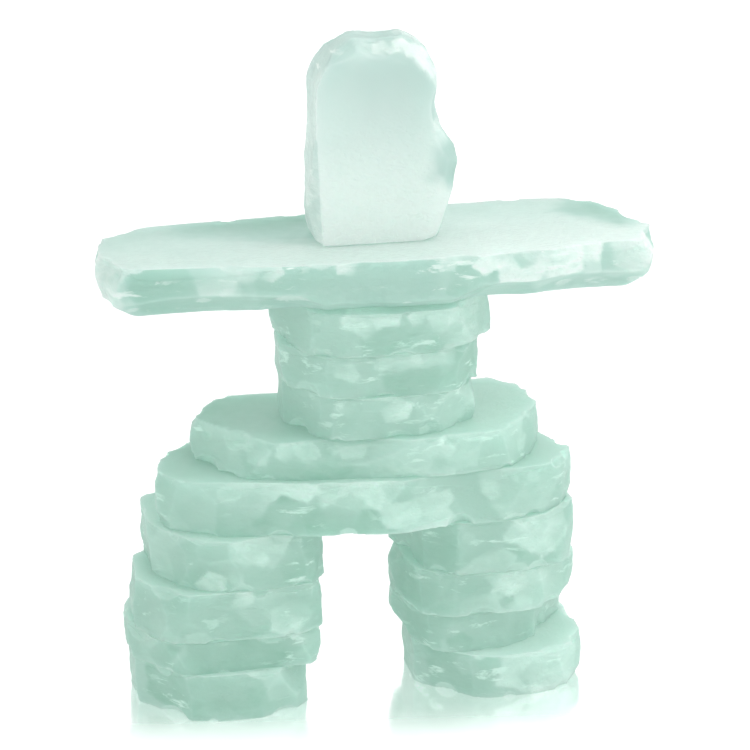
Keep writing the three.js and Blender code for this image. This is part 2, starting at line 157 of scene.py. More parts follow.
# The rows above and below the middle in which an undercut slab's two readings meet
UNDER_LAP = 4
# How many times as long as wide a flake is, its length along the rim
STRETCH = 1.25


def solid_triangles(node):
    """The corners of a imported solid's triangles, as an array of triangles by corners by axes."""
    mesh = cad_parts[node].data
    mesh.calc_loop_triangles()
    spots = np.empty(len(mesh.vertices) * 3)
    mesh.vertices.foreach_get("co", spots)
    corners = np.empty(len(mesh.loop_triangles) * 3, int)
    mesh.loop_triangles.foreach_get("vertices", corners)
    return spots.reshape(-1, 3)[corners].reshape(-1, 3, 3)


def slab_box(triangles):
    """The middle and the half size of a solid's extent along each axis."""
    low, high = triangles.min((0, 1)), triangles.max((0, 1))
    return (low + high) / 2, (high - low) / 2


def way_out(triangles, starts, ways):
    """How far each ray runs before it leaves the solid. Every ray is crossed with every triangle:
    the crossing's shares along two of the triangle's sides come from triple products, a hit has both
    shares above nought and their sum below one, and the nearest hit ahead counts."""
    corner = triangles[:, 0]
    side, other = triangles[:, 1] - corner, triangles[:, 2] - corner
    facing = np.cross(side, other)
    spread = ways @ facing.T
    grazing = 1e-16
    spread = np.where(np.abs(spread) < grazing, grazing, spread)
    ahead = (np.sum(corner * facing, 1) - starts @ facing.T) / spread
    turned = np.cross(starts, ways)
    first = (turned @ other.T + ways @ np.cross(corner, other).T) / -spread
    second = (turned @ side.T + ways @ np.cross(corner, side).T) / spread
    slack = -1e-6
    hit = (first > slack) & (second > slack) & (first + second < 1 - slack) & (ahead > 0)
    return np.where(hit, ahead, np.inf).min(1)


def blurred(values, widths):
    """Values on a grid of rows by columns, averaged with a bell curve that is so many cells wide down
    and along it. The columns close in a ring, and the rows go on as their last one."""
    down, along = widths
    for axis, width in ((0, down), (1, along)):
        reach = int(math.ceil(3 * width))
        taps = np.exp(-0.5 * (np.arange(-reach, reach + 1) / max(width, 1e-9)) ** 2)
        taps /= taps.sum()
        sizes = [(0, 0)] * values.ndim
        sizes[axis] = (reach, reach)
        padded = np.pad(values, sizes, mode="edge" if axis == 0 else "wrap")
        count = values.shape[axis]
        values = sum(tap * padded.take(np.arange(count) + i, axis) for i, tap in enumerate(taps))
    return values


def solid_outline(triangles, steps):
    """Points at even steps round a slab as seen from above: level rays leave its middle all round, the
    lengths that they run are blurred a little, and the curve through their ends is walked in equal
    strides. The first point is at the back, and they go round by the left end."""
    middle, _ = slab_box(triangles)
    turn = np.linspace(0, 2 * math.pi, OUTLINE_RAYS, endpoint=False)
    ways = np.stack([-np.sin(turn), np.cos(turn), np.zeros_like(turn)], 1)
    reach = way_out(triangles, np.repeat(middle[None], len(ways), 0), ways)
    ends = blurred((ways * reach[:, None])[None], (0, OUTLINE_BLUR))[0]
    ends = np.append(ends, ends[:1], 0)
    walked = np.append(0, np.cumsum(np.linalg.norm(np.diff(ends, axis=0), axis=1)))
    count = int(walked[-1] / steps)
    stops = np.arange(count) / count * walked[-1]
    return np.stack([np.interp(stops, walked, ends[:, axis]) for axis in (0, 1)], 1)


def slab_rays(triangles, bed_rows):
    """The rays that draw a slab: they leave a flat plate inside it. Over the plate they go straight up,
    round its rim they turn from up through outward to down, aimed at steps along the profile of a
    square-edged slab that crowd towards its two rims as a sine does, and under it they go straight
    down. Returns the starts and ways as rows by columns by axes, the number of rows before the upper
    rim and the numbers of steps along the rim's bed and flank."""
    centre, half = slab_box(triangles)
    tall = half[2]
    inset = min(PLATE_INSET * tall, PLATE_INSET_MOST * half[1])
    rim = solid_outline(triangles, QUAD)
    count = len(rim)
    plate = rim * (1 - inset / half[:2])
    outward = rim - plate
    width = np.linalg.norm(outward, axis=1)
    outward /= width[:, None]
    bed_steps, flank_steps = round(inset / QUAD), round(CROWDING * 2 * tall / QUAD)
    outward_steps = np.sin(np.linspace(0, math.pi / 2, bed_steps + 1))
    out = np.concatenate([outward_steps[:-1], np.ones(flank_steps), outward_steps[::-1]])
    up = np.concatenate([
        np.ones(bed_steps),
        np.cos(np.linspace(0, math.pi, flank_steps + 1)[:-1]),
        -np.ones(bed_steps + 1),
    ])
    run = out[:, None] * width[None]
    rise = up[:, None] * tall * np.ones_like(run)
    length = np.hypot(run, rise)
    round_ways = np.stack([run * outward[:, 0], run * outward[:, 1], rise], 2) / length[..., None]
    flat = np.append(plate, np.zeros((count, 1)), 1)
    share = np.linspace(0, 1, bed_rows + 1)[1:-1]
    over = share[:, None, None] * flat[None]
    starts = np.concatenate([over, np.repeat(flat[None], len(run), 0), over[::-1]]) + centre
    straight = np.zeros_like(over)
    straight[..., 2] = 1
    ways = np.concatenate([straight, round_ways, -straight[::-1]])
    return starts, ways, (len(over), bed_steps, flank_steps)


def bed_planes(triangles, starts):
    """The lower and upper bed of a slab as height, rise along X and rise along Y. Each is the plane
    fitted by least squares to where upright rays from the inner plate leave the solid."""
    spots = starts[0, ::BED_STRIDE]
    planes = []
    for way in (-1.0, 1.0):
        ways = np.zeros_like(spots)
        ways[:, 2] = way
        heights = spots[:, 2] + way * way_out(triangles, spots, ways)
        table = np.stack([np.ones(len(spots)), spots[:, 0], spots[:, 1]], 1)
        planes.append(np.linalg.lstsq(table, heights, rcond=None)[0])
    return planes


def bed_height(bed, spots):
    """Height of a bed plane at points: its own height, plus its rises times their places."""
    return bed[0] + spots[..., 0] * bed[1] + spots[..., 1] * bed[2]


def slab_reach(triangles, starts, ways, soften):
    """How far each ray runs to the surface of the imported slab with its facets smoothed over. The flank
    is read as distances outward from the inner plate's edge at even levels, blurred by so many
    millimetres, and halving steps find where a ray is that far out, or on a bed if that is nearer."""
    below, above = bed_planes(triangles, starts)
    middle = len(starts) // 2
    inner, outward = starts[middle], ways[middle] * [1, 1, 0]
    outward /= np.linalg.norm(outward, axis=1)[:, None]
    deep = PROBE_DEPTH * slab_box(triangles)[1][1]
    sparse, sparse_out = inner[::2], outward[::2]
    probes = np.repeat((sparse - deep * sparse_out)[None], FLANK_LEVELS, 0)
    shares = (np.arange(FLANK_LEVELS) + 0.5) / FLANK_LEVELS
    floor, ceiling = bed_height(below, probes), bed_height(above, probes)
    probes[..., 2] = floor + (ceiling - floor) * shares[:, None]
    sideways = np.repeat(sparse_out[None], FLANK_LEVELS, 0)
    distance = way_out(triangles, probes.reshape(-1, 3), sideways.reshape(-1, 3)) - deep
    distance = distance.reshape(FLANK_LEVELS, -1)
    widest = distance[FLANK_LEVELS // 2]
    distance = np.where(distance > widest + deep, widest, distance)
    pitch = (ceiling - floor).mean() / FLANK_LEVELS
    distance = blurred(distance, (soften * MM / pitch, soften * MM / (2 * QUAD)))
    columns = np.arange(starts.shape[1]) / 2
    lower = np.floor(columns).astype(int) % distance.shape[1]
    upper = (lower + 1) % distance.shape[1]
    distance = distance[:, lower] * (1 - columns % 1) + distance[:, upper] * (columns % 1)
    climb = ways[..., 2] - ways[..., 0] * above[1] - ways[..., 1] * above[2]
    drop = ways[..., 2] - ways[..., 0] * below[1] - ways[..., 1] * below[2]
    to_top = (bed_height(above, starts) - starts[..., 2]) / np.where(climb > LEVEL_CLIMB, climb, LEVEL_CLIMB)
    to_foot = (bed_height(below, starts) - starts[..., 2]) / np.where(drop < -LEVEL_CLIMB, drop, -LEVEL_CLIMB)
    near, far = np.zeros_like(to_top), np.minimum(to_top, to_foot)
    column = np.arange(starts.shape[1])[None]
    highest = FLANK_LEVELS - 1.001
    for _ in range(HALVINGS):
        half = (near + far) / 2
        spot = starts + ways * half[..., None]
        floor, ceiling = bed_height(below, spot), bed_height(above, spot)
        level = (spot[..., 2] - floor) / (ceiling - floor) * FLANK_LEVELS - 0.5
        level = np.clip(level, 0, highest)
        row = level.astype(int)
        part = level - row
        flank = distance[row, column] * (1 - part) + distance[row + 1, column] * part
        beyond = np.sum((spot - inner) * outward, 2) > flank + PROUD
        near, far = np.where(beyond, near, half), np.where(beyond, half, far)
    return far


def cast_reach(triangles, starts, ways, soften):
    """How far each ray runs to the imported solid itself: every other ray is cast, the lengths are
    blurred by so many millimetres, and the rays between take their share of those beside them."""
    cast = way_out(triangles, starts[::2, ::2].reshape(-1, 3), ways[::2, ::2].reshape(-1, 3))
    cast = cast.reshape(len(starts[::2]), -1)
    cast = blurred(cast, (soften * MM / (2 * QUAD), soften * MM / (2 * QUAD)))
    rows = np.minimum(np.arange(len(starts)) / 2, len(cast) - 1)
    columns = np.arange(starts.shape[1]) / 2
    low_row, low_column = rows.astype(int), columns.astype(int)
    high_row = np.minimum(low_row + 1, len(cast) - 1)
    high_column = (low_column + 1) % cast.shape[1]
    down, along = (rows % 1)[:, None], (columns % 1)[None]
    upper = cast[low_row][:, low_column] * (1 - along) + cast[low_row][:, high_column] * along
    lower = cast[high_row][:, low_column] * (1 - along) + cast[high_row][:, high_column] * along
    return upper * (1 - down) + lower * down


def undercut_reach(triangles, starts, ways, soften):
    """The reach of an undercut slab: its upper half read with the facets smoothed over, its lower
    half cast straight, and the two passing into each other round the middle of the flank."""
    middle = len(starts) // 2 - UNDER_LAP
    reach = slab_reach(triangles, starts, ways, soften)
    under = cast_reach(triangles, starts[middle:], ways[middle:], soften)
    share = np.clip(np.arange(len(under)) / (2 * UNDER_LAP), 0, 1)[:, None]
    reach[middle:] = reach[middle:] * (1 - share) + under * share
    return reach


def blow_on(surface, rows, box, blow):
    """One flake's ball from a blow: its place round the slab's box, its level on the flank, width and
    bite in millimetres, and how far the flake's face is turned to the right and up, in degrees. Round
    the box, the front runs from -1 to 1, the right end from 1 to 3, the back from 3 to 5 and the
    left end from 5 to 7, so that -3 to -1 is the left end again."""
    place, level, width, bite, turned, tipped = blow[:6]
    over, bed_steps, flank_steps = rows
    centre, half = box
    side, share = divmod((place + 1) % 8, 2)
    ends = [(-1, -1), (1, -1), (1, 1), (-1, 1)]
    start, stop = (np.array(ends[(int(side) + i) % 4], float) for i in (0, 1))
    towards = start + (stop - start) * share / 2
    row = over + bed_steps + round(math.acos(min(max(level, -1), 1)) / math.pi * flank_steps)
    belt = surface[over + bed_steps + flank_steps // 2]
    away = belt[:, :2] - centre[:2] - towards * half[:2]
    column = int(np.argmin(np.sum(away * away, 1)))
    spot = surface[row, column]
    step = 6
    along = belt[(column + step) % len(belt)] - belt[column - step]
    along[2] = 0
    along /= np.linalg.norm(along)
    out = np.array([along[1], -along[0], 0])
    swing, pitch = math.radians(turned), math.radians(tipped)
    facing = out * math.cos(swing) + along * math.sin(swing)
    along = along * math.cos(swing) - out * math.sin(swing)
    facing = facing * math.cos(pitch) + np.array([0, 0, math.sin(pitch)])
    return spot, facing, along, width * MM, bite * MM


def flake_cuts(starts, ways, reach, flakes):
    """The rays cut short by flakes. A flake is a ball pressed into the slab to the depth of its bite,
    whose radius is the one that leaves a mark of its width, drawn out along the rim. In the ball's
    own units a ray meets it where the square of its distance from the middle comes to one. A flake
    that would reach the inner plate is left out. Returns the new reaches and which rays were cut."""
    shortened = np.zeros(reach.shape, bool)
    for spot, facing, along, width, bite in flakes:
        radius = (width * width / 4 + bite * bite) / (2 * bite)
        middle = spot + facing * (radius - bite)
        axes = np.stack([along / STRETCH, facing, np.cross(along, facing)]) / radius
        start, way = (starts - middle) @ axes.T, ways @ axes.T
        square, cross = np.sum(way * way, -1), np.sum(start * way, -1)
        rest = np.sum(start * start, -1) - 1
        if rest.min() <= 0:
            continue
        under = cross * cross - square * rest
        met = (under > 0) & (cross < 0)
        cut = np.where(met, (-cross - np.sqrt(np.where(met, under, 0))) / square, np.inf)
        cut = np.where((cut > 0) & (cut < reach), cut, np.inf)
        shortened |= np.isfinite(cut)
        reach = np.minimum(reach, cut)
    return reach, shortened


def thrown_blows(random, count, places, levels, widths, bites, swing, pitch):
    """So many blows without a tone, one in each even step between the two places, with everything
    else thrown evenly between its two limits. They lie on the lower and the upper half in turn."""
    steps = np.linspace(places[0], places[1], count, endpoint=False)
    gap = (places[1] - places[0]) / max(count, 1)
    blows = []
    for i, place in enumerate(steps):
        edge = 1 if i % 2 else -1
        level = edge * random.uniform(*levels)
        blows.append((
            place + gap * random.uniform(0, 1),
            level,
            random.uniform(*widths),
            random.uniform(*bites),
            random.uniform(-swing, swing),
            edge * random.uniform(*pitch),
        ))
    return blows


def waves(spots, size, random):
    """A soft undulation, mostly from -1 to 1: the sum of ten sine waves of about one length that cross
    each other in directions thrown at random, over the square root of their number."""
    sines = 10
    total = 0
    for _ in range(sines):
        way = random.normal(size=3)
        way *= 2 * math.pi / (size * MM * random.uniform(0.75, 1.35) * np.linalg.norm(way))
        total = total + np.sin(spots @ way + random.uniform(0, 2 * math.pi))
    return total / math.sqrt(sines)


def grid_faces(rows, columns):
    """The faces of a closed grid: four-sided between its rings, and three-sided at its two poles,
    which come after the rings' vertices."""
    ring = np.arange(columns)
    after = (ring + 1) % columns
    row = np.arange(rows - 1)[:, None] * columns
    quads = np.stack([row + ring, row + columns + ring, row + columns + after, row + after], 2)
    first, last = rows * columns, rows * columns + 1
    top = np.stack([np.full(columns, first), ring, after], 1)
    base = (rows - 1) * columns
    bottom = np.stack([np.full(columns, last), base + after, base + ring], 1)
    return quads.reshape(-1, 4), np.concatenate([top, bottom])


def grid_piece(name, surface, marks):
    """A mesh object from a grid of points that closes along its columns, with a pole in the middle of
    its first and last row. The marks are named values of every grid point, kept as attributes."""
    rows, columns = surface.shape[:2]
    quads, threes = grid_faces(rows, columns)
    poles = np.stack([surface[0].mean(0), surface[-1].mean(0)])
    spots = np.concatenate([surface.reshape(-1, 3), poles])
    mesh = bpy.data.meshes.new(name)
    mesh.vertices.add(len(spots))
    mesh.vertices.foreach_set("co", spots.astype(np.float32).ravel())
    mesh.loops.add(quads.size + threes.size)
    mesh.loops.foreach_set("vertex_index", np.concatenate([quads.ravel(), threes.ravel()]).astype(np.int32))
    mesh.polygons.add(len(quads) + len(threes))
    begins = np.concatenate([np.arange(len(quads)) * 4, quads.size + np.arange(len(threes)) * 3])
    mesh.polygons.foreach_set("loop_start", begins.astype(np.int32))
    mesh.update(calc_edges=True)
    mesh.validate()
    mesh.shade_smooth()
    for mark, values in marks.items():
        ends = [values[0].mean(), values[-1].mean()]
        layer = mesh.attributes.new(mark, "FLOAT", "POINT")
        layer.data.foreach_set("value", np.append(values.ravel(), ends).astype(np.float32))
    piece = bpy.data.objects.new(name, mesh)
    bpy.context.scene.collection.objects.link(piece)
    return piece


def neighbours(surface):
    """The points above, below, to the left and to the right of each point of a grid."""
    up = np.concatenate([surface[:1], surface[:-1]])
    down = np.concatenate([surface[1:], surface[-1:]])
    return up, down, np.roll(surface, 1, 1), np.roll(surface, -1, 1)


def outward_ways(surface):
    """The surface's outward direction at each grid point: across the lines that join its neighbours."""
    up, down, left, right = neighbours(surface)
    outward = np.cross(down - up, right - left)
    return outward / (np.linalg.norm(outward, axis=2)[..., None] + 1e-12)


# How many cells wide the marks are blurred, and how far a full ridge stands out
MARK_BLUR = (0.5, 0.5)
RIDGE_HEIGHT = 0.16 * MM


def ridge_mark(surface):
    """How sharply the surface stands out at each grid point, from 0 to 1: how far the point lies
    above the mean of its four neighbours, along the surface's own outward direction."""
    height = np.sum((surface - sum(neighbours(surface)) / 4) * outward_ways(surface), 2)
    return np.clip(blurred(height, MARK_BLUR) / RIDGE_HEIGHT, 0, 1) ** 1.5


def painted_bed_light(surface, box, corners):
    """The painted light and shade over a slab's upper bed: its corners' tones, in the order front left, front
    right, back left, back right, mixed by 3t^2 - 2t^3 along the slab and from front to back."""
    across, behind = ((surface[..., axis] - box[0][axis]) / (2 * box[1][axis]) + 0.5 for axis in (0, 1))
    across, behind = (share * share * (3 - 2 * share) for share in (across, behind))
    front = corners[0] + (corners[1] - corners[0]) * across
    back = corners[2] + (corners[3] - corners[2]) * across
    return front + (back - front) * behind


# The sides of a scar's facet, and the least reach that one may have, as a share of the scar's
FACET_SIDES, LEAST_REACH = 5, 0.65
# How strongly a facet shows in its middle, and how much more or less to either side
FACET_LIT, FACET_FADE = 0.65, 0.5
# The cosine between surface and facet from which it starts to show, in full at twice that
FACET_TURN = 0.3
# The width of a facet's border as a share of its reach, and what is added where it faces up
BORDER, BORDER_UP = 0.1, 0.6


def scar_tones(surface, tone, flakes, tones, fray, random):
    """The tone of the surface once each scar has laid its own over those before it. A scar shows as an
    uneven five-sided facet: a point lies as far out as the greatest of its distances from the scar's
    middle along five ways, each over its own reach. The facet fades from one side to the other, its
    border is softer the more it faces up, and it counts only where the surface is turned its way."""
    outward = outward_ways(surface)
    for (spot, facing, along, width, _), scar_tone in zip(flakes, tones):
        axes = np.stack([along / STRETCH, np.cross(along, facing), facing]) / (width / 2)
        place = (surface - spot) @ axes.T
        angles = random.uniform(0, 2 * math.pi) + np.arange(FACET_SIDES) * (2 * math.pi / FACET_SIDES)
        reaches = random.uniform(LEAST_REACH, 1.0, FACET_SIDES)
        sides = np.stack([np.cos(angles), np.sin(angles)]) / reaches
        away = np.maximum((place[..., :2] @ sides).max(-1), np.abs(place[..., 2]))
        fade = random.uniform(0, 2 * math.pi)
        lit = FACET_LIT + FACET_FADE * (place[..., 0] * math.cos(fade) + place[..., 1] * math.sin(fade))
        turned = np.clip((outward @ facing - FACET_TURN) / FACET_TURN, 0, 1)
        border = BORDER + BORDER_UP * facing[2] ** 4
        share = turned * np.clip(lit, 0, 1) * np.clip((1 - away - fray) / border, 0, 1)
        tone = tone + (scar_tone - tone) * share
    return tone


# How deep a flank is drawn in before it is struck: evenly, by a long wave and by a short one, with
# the lengths of the waves, all in millimetres
DRAWN_IN, LONG_SWELL, SHORT_SWELL = 0.25, 0.22, 0.12
LONG_WAVE, SHORT_WAVE = 15, 4.5
# The ripple that runs over the flakes, and its length, in millimetres
RIPPLE, RIPPLE_WAVE = 0.06, 7
# How far the borders of the scars stray, as shares of a scar's reach, coarsely and finely, with the
# lengths of those waves in millimetres
COARSE_FRAY, FINE_FRAY = 0.04, 0.02
COARSE_WAVE, FINE_WAVE = 8, 3.5
# The least tone of a small chip
CHIP_TONE = 0.6


def level_share(rise):
    """How far a surface counts as a bed, by the upward part of its outward direction: nought below
    0.6, all from 0.8, and evenly between."""
    return np.clip((rise - 0.6) / 0.2, 0, 1)


def knapped_slab(
    triangles, read, blows, seed, bed_rows, chips, bed, facet_count=5, soften=1.2, swell=1,
):
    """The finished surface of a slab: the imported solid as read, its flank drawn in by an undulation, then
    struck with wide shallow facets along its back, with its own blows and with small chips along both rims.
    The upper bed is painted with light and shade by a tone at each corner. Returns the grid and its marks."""
    random = np.random.default_rng(seed)
    starts, ways, rows = slab_rays(triangles, bed_rows)
    reach = read(triangles, starts, ways, soften)
    surface = starts + ways * reach[..., None]
    depth = DRAWN_IN + LONG_SWELL * waves(surface, LONG_WAVE, random)
    depth = depth + SHORT_SWELL * waves(surface, SHORT_WAVE, random)
    flank = 1 - level_share(np.abs(outward_ways(surface)[..., 2]))
    reach = reach - flank * swell * depth * MM
    surface = starts + ways * reach[..., None]
    box = slab_box(triangles)
    hidden = thrown_blows(
        random, facet_count, places=(3.1, 4.9), levels=(0, 0.5),
        widths=(16, 30), bites=(0.15, 0.35), swing=6, pitch=(0, 4),
    )
    hidden = [(*blow, random.uniform(-0.5, 0.4)) for blow in hidden]
    struck = hidden + list(blows)
    scars = [blow_on(surface, rows, box, blow) for blow in struck]
    reach, _ = flake_cuts(starts, ways, reach, scars)
    surface = starts + ways * reach[..., None]
    small = thrown_blows(
        random, chips, places=(-3, 5), levels=(0.96, 1.0),
        widths=(2.5, 6.5), bites=(0.3, 0.6), swing=40, pitch=(10, 55),
    )
    nicks = [blow_on(surface, rows, box, blow) for blow in small]
    reach, chipped = flake_cuts(starts, ways, reach, nicks)
    reach = reach - flank * (RIPPLE + RIPPLE * waves(surface, RIPPLE_WAVE, random)) * MM
    surface = np.clip(starts + ways * reach[..., None], box[0] - box[1], box[0] + box[1])
    # The upper bed is painted lighter where light falls on it and darker where the stones above shade it
    tone = painted_bed_light(surface, box, bed) * level_share(outward_ways(surface)[..., 2])
    fray = COARSE_FRAY * waves(surface, COARSE_WAVE, random)
    fray = fray + FINE_FRAY * waves(surface, FINE_WAVE, random)
    tone = scar_tones(surface, tone, scars, [blow[6] for blow in struck], fray, random)
    tone = np.where(chipped, np.maximum(tone, CHIP_TONE), tone)
    marks = {"ridge": ridge_mark(surface), "tone": blurred(tone, MARK_BLUR), "worked": flank}
    return surface, marks


def new_node(tree, kind, **values):
    """A shader node with its settings and its plain input values set."""
    node = tree.nodes.new(kind)
    for key, value in values.items():
        if key in node.inputs:
            node.inputs[key].default_value = value
        else:
            setattr(node, key, value)
    return node


# The places of a Mix node's two colour inputs and of its colour output
FIRST_COLOR, SECOND_COLOR, MIXED_COLOR = 6, 7, 2


def mixed(tree, share, first, second):
    """The colour that passes from the first to the second as the share goes from nought to one."""
    mix = new_node(tree, "ShaderNodeMix", data_type="RGBA")
    tree.links.new(share, mix.inputs["Factor"])
    tree.links.new(first, mix.inputs[FIRST_COLOR])
    tree.links.new(second, mix.inputs[SECOND_COLOR])
    return mix.outputs[MIXED_COLOR]


def product(tree, first, second):
    """Two values multiplied."""
    times = new_node(tree, "ShaderNodeMath", operation="MULTIPLY")
    tree.links.new(first, times.inputs[0])
    tree.links.new(second, times.inputs[1])
    return times.outputs[0]


# How much of a tone shows on a bed, where it isn't in patches and stands for painted light and shade, and how
# high the tooth stands beside the crags
BED_PATCH, TOOTH = 0.85, 0.06


def frost_group():
    """The skin of knapped milky glass as a node group: a body colour that clouds softly through the block,
    deepened where a scar is clear and whitened where it is bruised, each as far as the surface's tone says
    and in patches, and whitened in fine streaks on worked faces and a little along ridges. The tone also
    carries the light and shade painted on the beds and on some scars. The whitening along ridges is partly
    frosted rims and partly a painted highlight. Its satin roughness varies slightly, and its height is the
    fine tooth of an etched surface, with crags on worked faces and ripples where it is bruised."""
    tree = bpy.data.node_groups.new("milky_glass_skin", "ShaderNodeTree")
    for name, kind, value in (
        ("Body", "NodeSocketColor", (0.5, 0.7, 0.6, 1)),
        ("Cloud", "NodeSocketColor", (0.7, 0.85, 0.8, 1)),
        ("Deep", "NodeSocketColor", (0.3, 0.5, 0.4, 1)),
        ("Frost", "NodeSocketColor", (0.9, 0.97, 0.95, 1)),
        ("Cloud Size", "NodeSocketFloat", 30.0),
        ("Ridge Frost and Highlight", "NodeSocketFloat", 0.15),
        ("Bruise", "NodeSocketFloat", 0.75),
        ("Clearness", "NodeSocketFloat", 0.95),
        ("Streaks", "NodeSocketFloat", 0.8),
        ("Satin", "NodeSocketFloat", 0.45),
    ):
        socket = tree.interface.new_socket(name=name, in_out="INPUT", socket_type=kind)
        socket.default_value = value
    for name, kind in (("Color", "NodeSocketColor"), ("Roughness", "NodeSocketFloat"),
                       ("Height", "NodeSocketFloat")):
        tree.interface.new_socket(name=name, in_out="OUTPUT", socket_type=kind)
    link = tree.links.new
    given = new_node(tree, "NodeGroupInput")
    result = new_node(tree, "NodeGroupOutput")
    where = new_node(tree, "ShaderNodeTexCoord").outputs["Object"]
    # The clouds in the block
    cloud = new_node(tree, "ShaderNodeTexNoise", Detail=2.0, Roughness=0.5, Distortion=0.4)
    link(where, cloud.inputs["Vector"])
    link(given.outputs["Cloud Size"], cloud.inputs["Scale"])
    clouded = new_node(tree, "ShaderNodeMapRange", **{"From Min": 0.35, "From Max": 0.68})
    link(cloud.outputs["Fac"], clouded.inputs["Value"])
    color = mixed(tree, clouded.outputs["Result"], given.outputs["Body"], given.outputs["Cloud"])
    # The clear and the bruised scars, in patches except on the beds, and the light and shade painted on the
    # beds and on some scars
    layered = new_node(tree, "ShaderNodeMapping")
    layered.inputs["Scale"].default_value = (1, 1, 2.2)
    link(where, layered.inputs["Vector"])
    mottle = new_node(tree, "ShaderNodeTexNoise", Scale=90.0, Detail=3.0, Roughness=0.55, Distortion=0.6)
    link(layered.outputs["Vector"], mottle.inputs["Vector"])
    mottled = new_node(tree, "ShaderNodeMapRange", **{"From Min": 0.3, "From Max": 0.66, "To Min": 0.55})
    link(mottle.outputs["Fac"], mottled.inputs["Value"])
    tone = new_node(tree, "ShaderNodeAttribute", attribute_name="tone").outputs["Fac"]
    worked = new_node(tree, "ShaderNodeAttribute", attribute_name="worked").outputs["Fac"]
    patched = new_node(tree, "ShaderNodeMix")
    patched.inputs["A"].default_value = BED_PATCH
    link(worked, patched.inputs["Factor"])
    link(mottled.outputs["Result"], patched.inputs["B"])
    for tint, amount, way in (("Deep", "Clearness", -1.0), ("Frost", "Bruise", 1.0)):
        share = new_node(tree, "ShaderNodeMapRange", clamp=False, **{"From Max": way})
        link(tone, share.inputs["Value"])
        patchy = product(tree, share.outputs["Result"], patched.outputs["Result"])
        color = mixed(tree, product(tree, patchy, given.outputs[amount]), color, given.outputs[tint])
    # The fine streaks, in clusters
    splintered = new_node(tree, "ShaderNodeMapping")
    splintered.inputs["Scale"].default_value = (75, 75, 230)
    link(where, splintered.inputs["Vector"])
    splinter = new_node(tree, "ShaderNodeTexNoise", Scale=1.0, Detail=4.0, Roughness=0.65, Distortion=0.4)
    link(splintered.outputs["Vector"], splinter.inputs["Vector"])
    streaked = new_node(tree, "ShaderNodeMapRange", **{"From Min": 0.58, "From Max": 0.66})
    link(splinter.outputs["Fac"], streaked.inputs["Value"])
    cluster = new_node(tree, "ShaderNodeTexNoise", Scale=42.0, Detail=2.0)
    link(where, cluster.inputs["Vector"])
    clustered = new_node(tree, "ShaderNodeMapRange", **{"From Min": 0.43, "From Max": 0.58})
    link(cluster.outputs["Fac"], clustered.inputs["Value"])
    struck = product(tree, streaked.outputs["Result"], clustered.outputs["Result"])
    streak = product(tree, product(tree, struck, worked), given.outputs["Streaks"])
    color = mixed(tree, streak, color, given.outputs["Frost"])
    # The ridges, whitened: partly frosted rims and partly a painted highlight where they catch the light
    ridge = new_node(tree, "ShaderNodeAttribute", attribute_name="ridge").outputs["Fac"]
    color = mixed(tree, product(tree, ridge, given.outputs["Ridge Frost and Highlight"]), color, given.outputs["Frost"])
    link(color, result.inputs["Color"])
    # The satin roughness
    patches = new_node(tree, "ShaderNodeTexNoise", Scale=220.0, Detail=3.0)
    link(where, patches.inputs["Vector"])
    uneven = new_node(
        tree, "ShaderNodeMapRange",
        **{"From Min": 0.3, "From Max": 0.7, "To Min": -0.06, "To Max": 0.06},
    )
    link(patches.outputs["Fac"], uneven.inputs["Value"])
    satin = new_node(tree, "ShaderNodeMath", operation="ADD", use_clamp=True)
    link(given.outputs["Satin"], satin.inputs[0])
    link(uneven.outputs["Result"], satin.inputs[1])
    link(satin.outputs[0], result.inputs["Roughness"])
    # The tooth, the ripples and the crags
    tooth = new_node(tree, "ShaderNodeTexNoise", Scale=1500.0, Detail=2.0)
    link(where, tooth.inputs["Vector"])
    ripple = new_node(tree, "ShaderNodeTexNoise", Scale=260.0, Detail=3.0, Distortion=1.2)
    link(layered.outputs["Vector"], ripple.inputs["Vector"])
    rippled = new_node(tree, "ShaderNodeMapRange", **{"From Min": 0.3, "To Max": 1.0})
    link(tone, rippled.inputs["Value"])
    crag = new_node(tree, "ShaderNodeTexNoise", Scale=150.0, Detail=5.0, Roughness=0.6, Distortion=0.4)
    link(layered.outputs["Vector"], crag.inputs["Vector"])
    toothed = new_node(tree, "ShaderNodeMath", operation="MULTIPLY_ADD")
    toothed.inputs[1].default_value = TOOTH
    link(tooth.outputs["Fac"], toothed.inputs[0])
    link(product(tree, worked, crag.outputs["Fac"]), toothed.inputs[2])
    height = new_node(tree, "ShaderNodeMath", operation="ADD")
    link(toothed.outputs[0], height.inputs[0])
    link(product(tree, rippled.outputs["Result"], ripple.outputs["Fac"]), height.inputs[1])
    link(height.outputs[0], result.inputs["Height"])
    return tree


SKIN = frost_group()
# How much of the glass is see-through, how rough its skin is, how far light goes into its milk in metres, and
# how strongly it glows with painted light of its own colour
SEE_THROUGH, SATIN, MILK, PAINTED_GLOW = 0.5, 0.5, 0.02, 0.22


